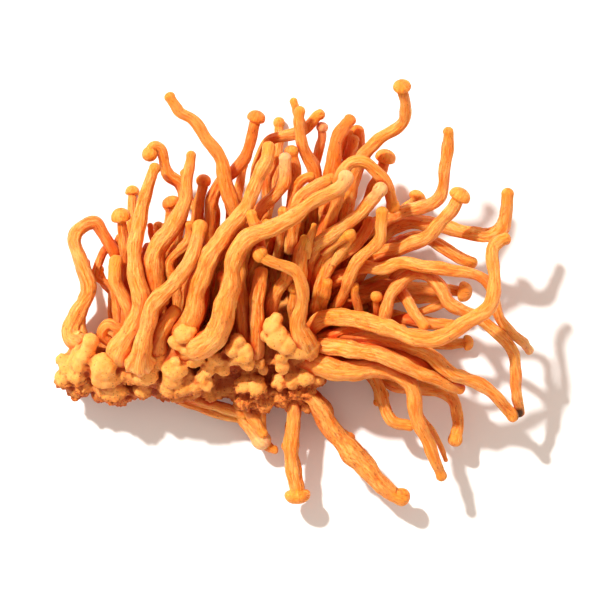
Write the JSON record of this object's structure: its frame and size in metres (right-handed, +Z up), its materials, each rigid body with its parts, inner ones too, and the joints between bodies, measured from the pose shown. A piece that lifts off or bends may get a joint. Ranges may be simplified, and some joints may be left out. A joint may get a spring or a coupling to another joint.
{
  "type": "dried cordyceps",
  "caption": "clump of dried club fungi lying on its side: a lumpy base mat with a dense fan of slender bent stalks ending in small round heads",
  "frame": {"origin": "middle of the bounding box in plan, on the surface that the clump lies on", "axes": "+X is to the right across the width of the clump, +Y is the way the left-hand stalks grow, +Z is up from the surface it lies on"},
  "size_m": [0.0954, 0.0846, 0.0348],
  "materials": {
    "base_mat": "matt, crumbly, pale orange with dark crumbs",
    "stalk": "matt, finely ribbed along its length, orange"
  },
  "bodies": {
    "root": {"base_mat": "base_mat", "stalk_left_hook": "stalk", "stalk_left_thin": "stalk", "stalk_left_club": "stalk", "stalk_left_ball_low": "stalk", "stalk_left_ball_high": "stalk", "stalk_left_long_cap": "stalk", "stalk_left_hooked_cap": "stalk", "stalk_left_bent_knob": "stalk", "stalk_left_hidden_cap": "stalk", "stalk_left_low_cap": "stalk", "stalk_left_front_knob": "stalk", "stalk_left_slim": "stalk", "stalk_left_short": "stalk", "stalk_top_left_club": "stalk", "stalk_top_left_cap": "stalk", "stalk_front_left": "stalk", "stalk_front_long": "stalk", "stalk_middle_pale_tip": "stalk", "stalk_middle_slim": "stalk", "stalk_middle_upright": "stalk", "stalk_middle_bent": "stalk", "stalk_middle_stub": "stalk", "stalk_middle_bud": "stalk", "stalk_middle_cap": "stalk", "stalk_middle_slant": "stalk", "stalk_middle_loop": "stalk", "stalk_top_knob": "stalk", "stalk_top_slant": "stalk", "stalk_top_nub": "stalk", "stalk_top_pale_knob": "stalk", "stalk_top_thick": "stalk", "stalk_top_twin": "stalk", "stalk_top_high_cap": "stalk", "stalk_top_wide_cap": "stalk", "stalk_top_arch": "stalk", "stalk_right_upright": "stalk", "stalk_right_capped": "stalk", "stalk_right_hidden_cap": "stalk", "stalk_right_far": "stalk", "stalk_right_sweep": "stalk", "stalk_right_pale_knob": "stalk", "stalk_right_blunt": "stalk", "stalk_right_wrinkled": "stalk", "stalk_right_wavy": "stalk", "stalk_right_arched": "stalk", "stalk_right_fork": "stalk", "stalk_right_small_knob": "stalk", "stalk_right_rough": "stalk", "stalk_right_cup_cap": "stalk", "stalk_right_dark_cap": "stalk", "stalk_low_right_long": "stalk", "stalk_low_right_ribbed": "stalk", "stalk_low_right_bent": "stalk", "stalk_low_right_loop": "stalk", "stalk_low_right_knob": "stalk", "stalk_low_thick": "stalk", "stalk_low_hanging_cap": "stalk", "stalk_low_pale_knob": "stalk"}
  },
  "joints": []
}
